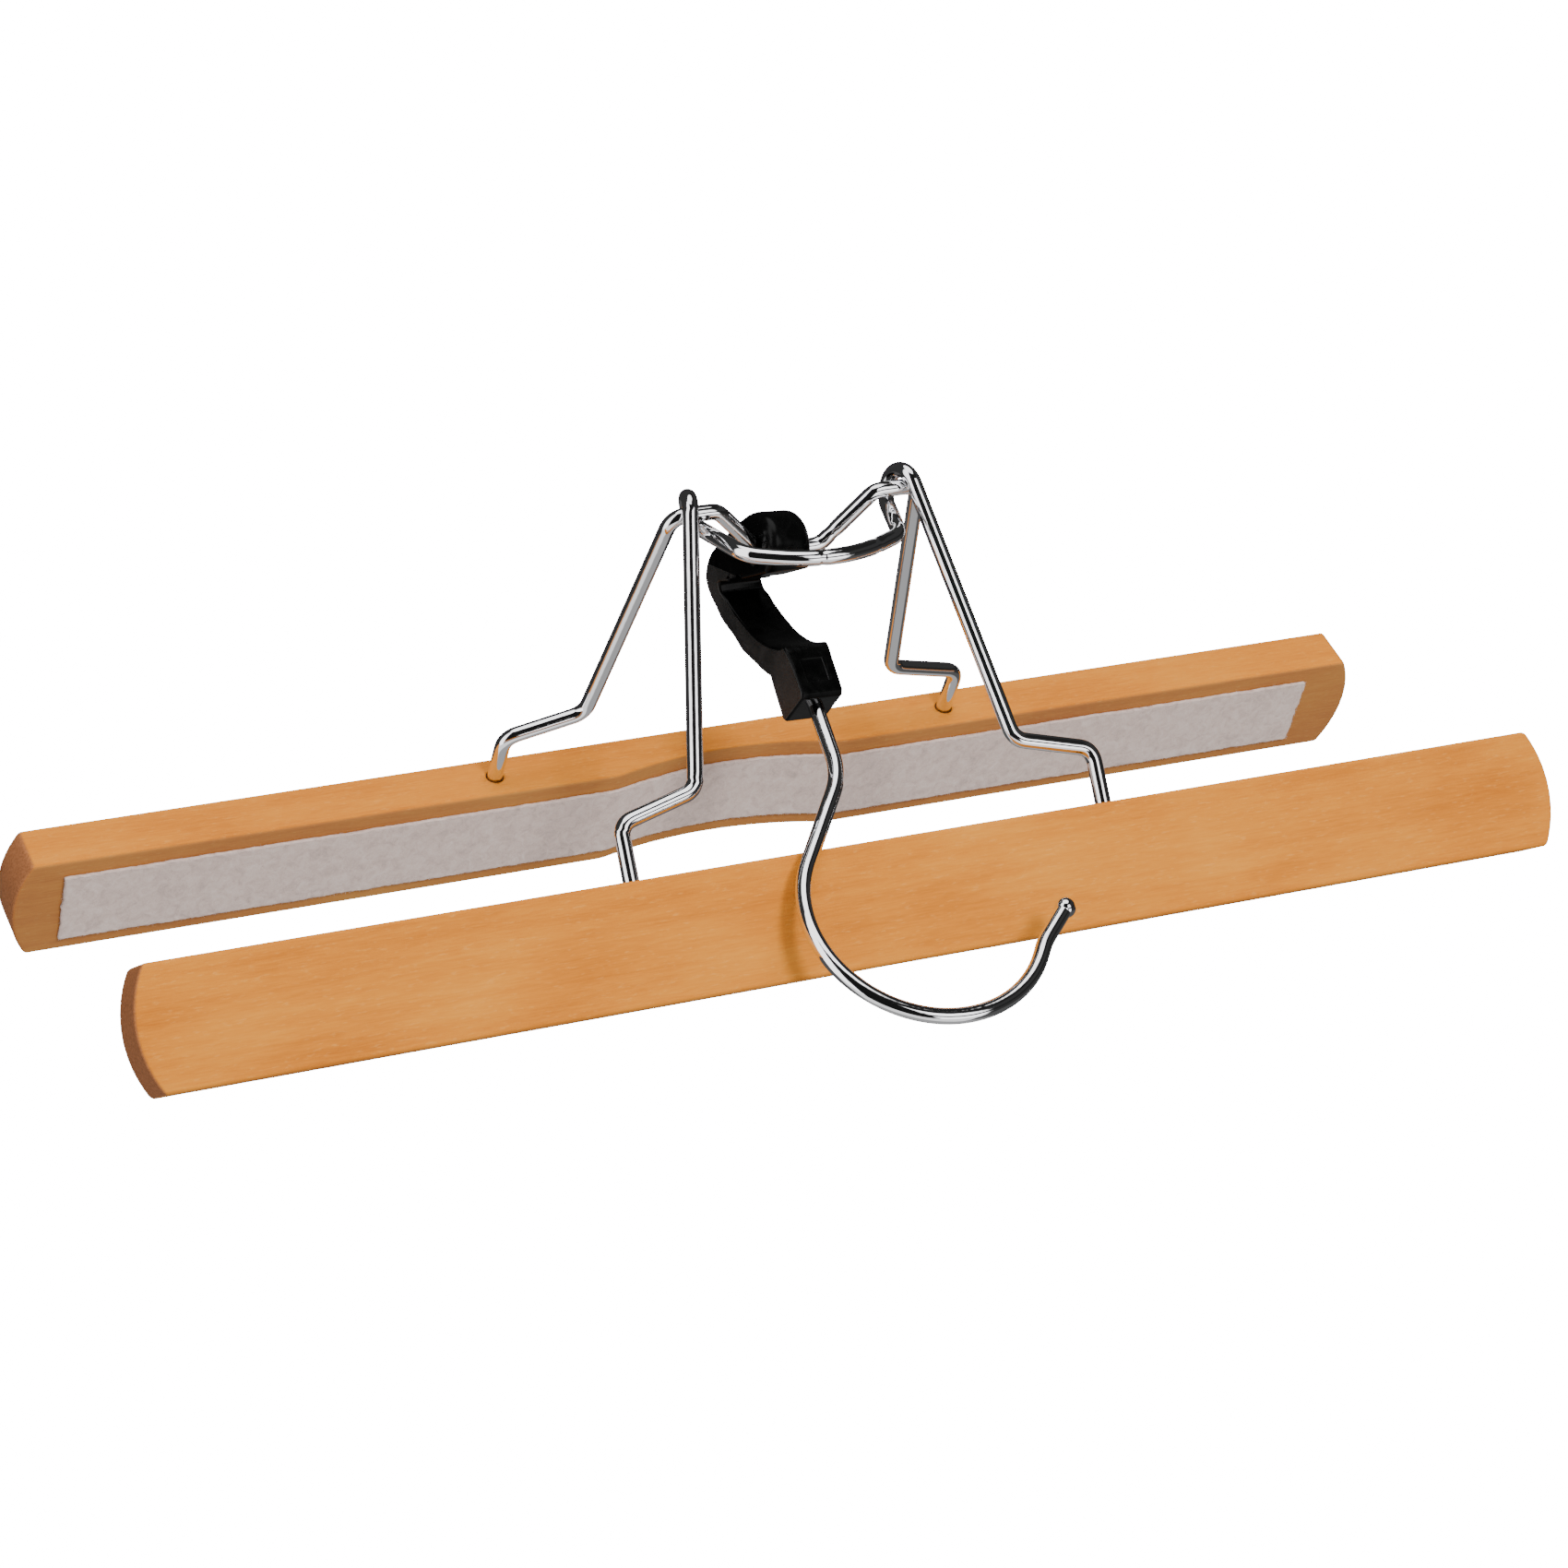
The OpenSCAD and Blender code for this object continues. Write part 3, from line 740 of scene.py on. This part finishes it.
def frontCorners():
    # from the hole up the leg, over the back wire, down behind it, under it and out to the bow
    loop = 2 * wire["radius"] + wire["loopGap"]
    reach, holeX = bar["reach"], bar["holeSpacing"] / 2
    lean = bar["spread"] - np.degrees(np.arcsin(loop / reach))
    down = np.sqrt(reach ** 2 - loop ** 2) + wire["inHole"]
    first, last = 180 - lean, wire["bowDip"] - 90
    step = (first - last) / 3
    dip = np.radians(wire["bowDip"])
    points = [
        legPoint(holeX, down, -1, lean, loop),
        legPoint(holeX, reach - wire["jogLow"], -1, lean, loop),
        legPoint(wire["jogX"], reach - wire["jogHigh"], -1, lean, loop),
    ]
    for k, x in enumerate(wire["coilX"]):
        a = np.radians(first - (k + 0.5) * step)
        far = loop / np.cos(np.radians(step / 2))
        points.append([x, far * np.cos(a), far * np.sin(a)])
    for x, out in (wire["frontBowSide"], (0.0, wire["frontBowReach"])):
        y = loop * np.sin(dip) - out * np.cos(dip)
        points.append([x, y, -loop * np.cos(dip) - out * np.sin(dip)])
    bends = [0, wire["lowBend"], wire["highBend"]] + [wire["coilBend"]] * 3 + list(wire["frontBowBends"])
    points = np.array(points)
    return np.concatenate([points, mirrored(points[:-1])]), bends + bends[-2::-1]


def backCorners():
    # from the hole up the leg, along the axis inside the coil, and down to the bow
    reach, holeX, lean = bar["reach"], bar["holeSpacing"] / 2, bar["spread"]
    points = [
        legPoint(holeX, reach + wire["inHole"], 1, lean, 0),
        legPoint(holeX, reach - wire["jogLow"], 1, lean, 0),
        legPoint(wire["jogX"], reach - wire["jogHigh"], 1, lean, 0),
        [wire["runX"][0], 0, 0],
        [wire["runX"][1], 0, 0],
        legPoint(wire["backBowX"], wire["backBowDrop"], 1, wire["backBowLean"], 0),
    ]
    bends = [0, wire["lowBend"], wire["highBend"], *wire["runBends"], wire["backBowBend"]]
    points = np.array(points, float)
    return np.concatenate([points, mirrored(points)]), bends + bends[::-1]


def nickedRadii(path, nicks):
    # the wire's radius, with small dents where the bending tool gripped the bow
    radii = np.full(len(path), wire["radius"])
    bow = np.abs(path[:, 0]) < 18
    for x in nicks:
        radii -= wire["nickDepth"] * np.exp(-((path[:, 0] - x) / wire["nickWidth"]) ** 2) * bow
    return radii


plated = brightChrome("brightChrome")
for arm, (corners, bends) in (("front", frontCorners()), ("back", backCorners())):
    path = eased(roundedPath(corners, bends, wire["step"]), wire["step"], wire["ease"])
    radii = nickedRadii(path, wire[f"{arm}Nicks"])
    sweptWire(f"{arm}_wire_frame", path, radii, f"{arm}_arm", f"{arm}_wire", plated)

hook = {
    "x": -4.0, "footY": -19.0, "footZ": -47.15, "drop": 36.5, "slant": 0.09, "inClip": 9.0,
    "crook": (4.5, 61.5), "crookRadius": 29.8, "from": 217.0, "to": 36.0,
    "lead": 29.4, "stemBend": 20.0, "flick": 4.0, "flickBend": 12.0,
    "ball": (40.2, 67.5), "ballRadius": 2.62,
}


def onHook(flat):
    # from the hook's own plane, across and down the stem, into space
    a = np.radians(hook["drop"])
    flat = np.atleast_2d(flat)
    x, down = flat[:, 0], flat[:, 1]
    return np.stack([hook["x"] + x, hook["footY"] - down * np.cos(a), hook["footZ"] - down * np.sin(a)], -1)


def hookPath():
    # stem, one soft bend, the crook's arc, and a small outward flick to the ball
    a0, a1 = np.radians([hook["from"], hook["to"]])
    c, r = np.array(hook["crook"]), hook["crookRadius"]
    start = c + r * np.array([np.cos(a0), np.sin(a0)]) + hook["lead"] * np.array([-np.sin(a0), np.cos(a0)])
    end = c + r * np.array([np.cos(a1), np.sin(a1)]) + hook["flick"] * np.array([np.sin(a1), -np.cos(a1)])
    foot = np.array([hook["slant"] * hook["inClip"], -hook["inClip"]])
    t = np.linspace(a0, a1, 90)
    arc = c + r * np.stack([np.cos(t), np.sin(t)], -1)
    step = wire["step"]
    lead = roundedPath(onHook(np.array([foot, start, arc[0]])), [0, hook["stemBend"], 0], step)
    flick = roundedPath(onHook(np.array([arc[-1], end, hook["ball"]])), [0, hook["flickBend"], 0], step)
    return evenly(np.concatenate([lead[:-1], onHook(arc), flick[1:]]), step)


def hookShape():
    # the wire's radius, swelling into a ball round the end of the path
    path = eased(hookPath(), wire["step"], 3.0)
    r = hook["ballRadius"]
    ahead = unit(path[-1] - path[-4])
    back = path[np.linalg.norm(path - path[-1], axis=1) > r * 1.6]
    neck = np.linspace(-r * 1.6, -r, 8)[:-1]
    fine = np.concatenate([neck, -r * np.cos(np.linspace(0, np.pi - 0.06, 30))])
    ball = path[-1] + fine[:, None] * ahead
    full = np.sqrt(np.maximum(r ** 2 - np.minimum(np.abs(fine), r) ** 2, 0))
    radii = np.where(fine < 0, np.maximum(full, wire["radius"]), full)
    return np.concatenate([back, ball]), np.concatenate([np.full(len(back), wire["radius"]), radii])


hookWire, hookRadii = hookShape()
sweptWire("chromed_hook", hookWire, hookRadii, "clip_lever", "hook", plated)

# Clip
clip = {
    "width": 12.9, "nose": (-6.6, -3.4), "headCentre": (0.8, 0.6), "headRadius": 9.0, "headArc": (190, 47),
    "backCentre": (9.5, -12.4), "backRadius": 12.5, "backArc": (47, -52),
    "belly": ((6.8, -27.2), (-3.3, -28.6), (-9.8, -29.0)),
    "block": ((-16.9, -38.0), (-18.4, -38.2), (-25.2, -30.6),
              (-25.2, -29.0), (-17.6, -20.2), (-16.2, -19.4)),
    "gripCentre": (-5.1, 12.8), "gripRadius": 34.5, "gripArc": (-107, -52),
    "throat": (16.6, -11.8), "latch": (9.7, -10.6), "latchWay": (-1.7, 0.5), "latchRadius": 2.5,
    "bore": 2.3, "flare": 4.2, "edge": 0.8, "headEdge": 2.7, "corner": 0.9, "step": 0.35,
    "twistAt": (-9.0, -2.0, 5.0, 14.0, 24.0, 32.0),  # mm down from the pivot
    "twist": (10.0, 7.5, 2.2, 0.0, 0.0, 7.0),        # degrees there
    "widthAt": (-30, -22, -14, -4, 8),               # mm above the pivot
    "widthShare": (0.92, 0.94, 0.98, 0.96, 0.93),    # of the width there
    # the last height on the next line, mm from the pivot: flat sides below it get the matt finish with its
    # painted sheen
    "panel": 6.0, "panelDepth": 0.22, "cell": 2.5, "mattSheenBelow": -8.0,
}


def arcPoints(centre, radius, start, stop, count=30):
    # points on a circle between two angles
    a = np.radians(np.linspace(start, stop, count))
    return np.array(centre) + radius * np.stack([np.cos(a), np.sin(a)], -1)


def clipOutline():
    # round the clip's side view: nose, head, spine, block, grip, throat and the latch notch
    second = np.array(clip["latch"]) + clip["latchWay"]
    return np.concatenate([
        [clip["nose"]],
        arcPoints(clip["headCentre"], clip["headRadius"], *clip["headArc"]),
        arcPoints(clip["backCentre"], clip["backRadius"], *clip["backArc"]),
        clip["belly"], clip["block"],
        arcPoints(clip["gripCentre"], clip["gripRadius"], *clip["gripArc"]),
        [clip["throat"]],
        arcPoints(clip["latch"], clip["latchRadius"], 0, 92, 9),
        arcPoints(second, clip["latchRadius"], 53, 137, 9),
    ])


def softOutline(outline, radius, step):
    # the closed outline with its sharp corners rounded, one point every step
    corners = np.concatenate([outline, outline[:1]])
    start = int(np.argmax(np.linalg.norm(np.diff(corners, axis=0), axis=1)))
    corners = np.roll(outline, -start - 1, axis=0)
    first = (corners[0] + corners[-1]) / 2
    corners = np.concatenate([[first], corners, [first]])
    legs = np.linalg.norm(np.diff(corners, axis=0), axis=1)
    ways = unit(np.diff(corners, axis=0))
    turn = np.arccos(np.clip((ways[1:] * ways[:-1]).sum(1), -1, 1))
    room = 0.45 * np.minimum(legs[1:], legs[:-1]) / np.maximum(np.tan(turn / 2), 0.02)
    bends = np.concatenate([[0], np.minimum(np.where(turn > 0.4, radius, 4.0), room), [0]])
    flat = np.concatenate([corners, np.zeros((len(corners), 1))], 1)
    return roundedPath(flat, bends, step)[:-1, :2]


def blockPrism(name, outline, half, edges):
    # the outline (y, z) carried from one side to the other; towards each side it draws in
    # along its own normals by a quarter circle of radius edges, which may differ from point to point
    ahead = unit(np.roll(outline, -1, axis=0) - np.roll(outline, 1, axis=0))
    area = np.cross(outline, np.roll(outline, -1, axis=0)).sum()
    inward = np.stack([-ahead[:, 1], ahead[:, 0]], -1) * np.sign(area)
    turn = np.radians(np.array([0, 15, 30, 45, 60, 75, 90]))
    halves = []
    for side in (-1, 1):
        t = turn[::-1] if side < 0 else turn
        draw = edges[None, :, None] * (1 - np.cos(t))[:, None, None]
        x = side * (half - edges[None] + edges[None] * np.sin(t)[:, None])
        halves.append(np.concatenate([x[..., None], outline[None] + draw * inward[None]], -1))
    middle = np.linspace(0, 1, 9)[1:-1, None, None]
    between = halves[0][-1] + middle * (halves[1][0] - halves[0][-1])
    return closedMesh(name, np.concatenate([halves[0], between, halves[1]]))


def shapeClip(points):
    # narrows the head and the block, twists the clip about its length, from the pivot towards the
    # hook's foot, and moves it from the pivot to its place on the back frame's bow
    x, y, z = points.T
    x = x * np.interp(z, clip["widthAt"], clip["widthShare"])
    lean = np.radians(wire["backBowLean"])
    bowY, bowZ = wire["backBowDrop"] * np.sin(lean), -wire["backBowDrop"] * np.cos(lean)
    along = unit(np.array([hook["footY"] - bowY, hook["footZ"] - bowZ]))
    over = np.array([-along[1], along[0]])
    s = y * along[0] + z * along[1]
    w = y * over[0] + z * over[1]
    t = np.radians(np.interp(s, clip["twistAt"], clip["twist"]))
    x, w = x * np.cos(t) - w * np.sin(t), x * np.sin(t) + w * np.cos(t)
    y = s * along[0] + w * over[0] + bowY
    z = s * along[1] + w * over[1] + bowZ
    return np.stack([x + hook["x"], y, z], -1)


def cutGrid(mesh):
    # cuts the flat sides into small cells, so that they bend smoothly with the twist;
    # planes across y and across z, in mm from the pivot
    build = bmesh.new()
    build.from_mesh(mesh)
    for start, stop, normal in ((-26, 24, (0, 1, 0)), (-38, 12, (0, 0, 1))):
        for place in np.arange(start, stop, clip["cell"]):
            spot = standOnFloor(np.array(normal) * place)
            parts = build.verts[:] + build.edges[:] + build.faces[:]
            bmesh.ops.bisect_plane(build, geom=parts, plane_co=spot.tolist(), plane_no=normal)
    build.to_mesh(mesh)
    build.free()


def edgeRadii(outline):
    # the edges are rounder round the outside of the head than elsewhere, fading in with the distance
    # from its centre in mm and in and out with the angle round it in degrees
    hy, hz = clip["headCentre"]
    r = np.hypot(outline[:, 0] - hy, outline[:, 1] - hz)
    a = np.degrees(np.arctan2(outline[:, 1] - hz, outline[:, 0] - hy)) % 360
    onHead = np.clip((r - 6.8) / 1.5, 0, 1) * np.clip((a - 20) / 45, 0, 1) * np.clip((212 - a) / 30, 0, 1)
    return clip["edge"] + (clip["headEdge"] - clip["edge"]) * onHead


def boreCutter(half):
    # the hole for the bow, flared towards both sides and wider on the left
    reach = np.array([-half - 3, -half, -half + 0.8, -2.3, 2.3, half - 0.8, half, half + 3])
    flare = np.array([1.05, 1.0, 0.85, 0, 0, 0.3, 0.6, 0.7]) * (clip["flare"] - clip["bore"])
    return turnedCutter("bore", (0, 0, 0), (1, 0, 0), reach, flare + clip["bore"])


def panelCutter():
    # the shallow square that is sunk in the block's front face
    low, high = np.array(clip["block"][3]), np.array(clip["block"][4])
    along = unit(high - low)
    out = np.array([-along[1], along[0]])
    mid = (low + high) / 2
    h, d = clip["panel"] / 2, clip["panelDepth"]
    square = np.array([mid - h * along - d * out, mid + h * along - d * out,
                       mid + (h + 0.4) * along + 2 * out, mid - (h + 0.4) * along + 2 * out])
    return blockPrism("panel", square, h, np.zeros(4) + 0.01)


def buildClip(polished, matt):
    # the side view with rounded edges, less the bore and the panel, then put in its real shape
    outline = softOutline(clipOutline(), clip["corner"], clip["step"])
    half = clip["width"] / 2
    piece = blockPrism("clip_blank", outline, half, edgeRadii(outline))
    cutAway(piece, [boreCutter(half), panelCutter()])
    mesh = piece.data
    cutGrid(mesh)
    height = tripleValues(mesh.polygons, "center")[:, 2] * 1000 - axisPlace[2]
    aside = np.abs(tripleValues(mesh.polygons, "normal")[:, 0])
    # the flat sides below the head get the matt finish with its painted sheen
    flatSide = (aside > 0.8) & (height < clip["mattSheenBelow"])
    points = tripleValues(mesh.vertices, "co") * 1000 - axisPlace
    mesh.vertices.foreach_set("co", standOnFloor(shapeClip(points)).reshape(-1))
    bpy.data.objects.remove(piece)
    done = finishPiece("clip_moulding", mesh, "clip_lever", "clip", polished)
    mesh.materials.append(matt)
    mesh.polygons.foreach_set("material_index", flatSide.astype(np.int32))
    done.modifiers.new("even shading", "WEIGHTED_NORMAL")
    return done


polishedAcetal = mouldedAcetal("polishedAcetal", plastic["polished"])
# matt, with a lighter black as painted sheen, for the flat sides
mattSheenAcetal = mouldedAcetal("mattSheenAcetal", plastic["matt"])
buildClip(polishedAcetal, mattSheenAcetal)
